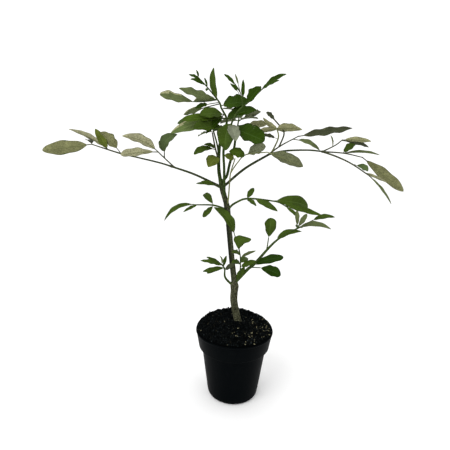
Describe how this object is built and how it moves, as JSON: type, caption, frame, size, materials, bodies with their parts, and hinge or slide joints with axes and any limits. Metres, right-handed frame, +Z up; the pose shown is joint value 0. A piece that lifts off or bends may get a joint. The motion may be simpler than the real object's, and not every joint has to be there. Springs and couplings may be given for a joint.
{
  "type": "potted radermachera shrub",
  "caption": "Young kunming radermachera with a thin bending trunk, wide side boughs and open sprays of pointed leaflets, in a round black nursery pot heaped with dark potting mix.",
  "frame": {"origin": "centre of the pot's flat underside", "axes": "+Z up along the pot's axis, +X to the right along the crown's widest spread as the picture shows it, +Y away from the viewer"},
  "size_m": [0.5838, 0.1599, 0.5338],
  "materials": {
    "pot_plastic": "satin",
    "potting_mix": "matte",
    "bark": "matte",
    "leaf_green": "satin"
  },
  "bodies": {
    "root": {"bough_left": "bark", "bough_left_outer": "bark", "bough_right": "bark", "bough_right_outer": "bark", "foliage_axil": "leaf_green", "foliage_crown_back": "leaf_green", "foliage_crown_left": "leaf_green", "foliage_crown_rear": "leaf_green", "foliage_crown_right": "leaf_green", "foliage_fork": "leaf_green", "foliage_left_inner": "leaf_green", "foliage_left_outer": "leaf_green", "foliage_low_left": "leaf_green", "foliage_low_right": "leaf_green", "foliage_mid_left": "leaf_green", "foliage_mid_right": "leaf_green", "foliage_right_inner": "leaf_green", "foliage_right_outer": "leaf_green", "foliage_top": "leaf_green", "pot": "pot_plastic", "rear_leader": "bark", "side_leader": "bark", "soil": "potting_mix", "trunk": "bark"}
  },
  "joints": []
}
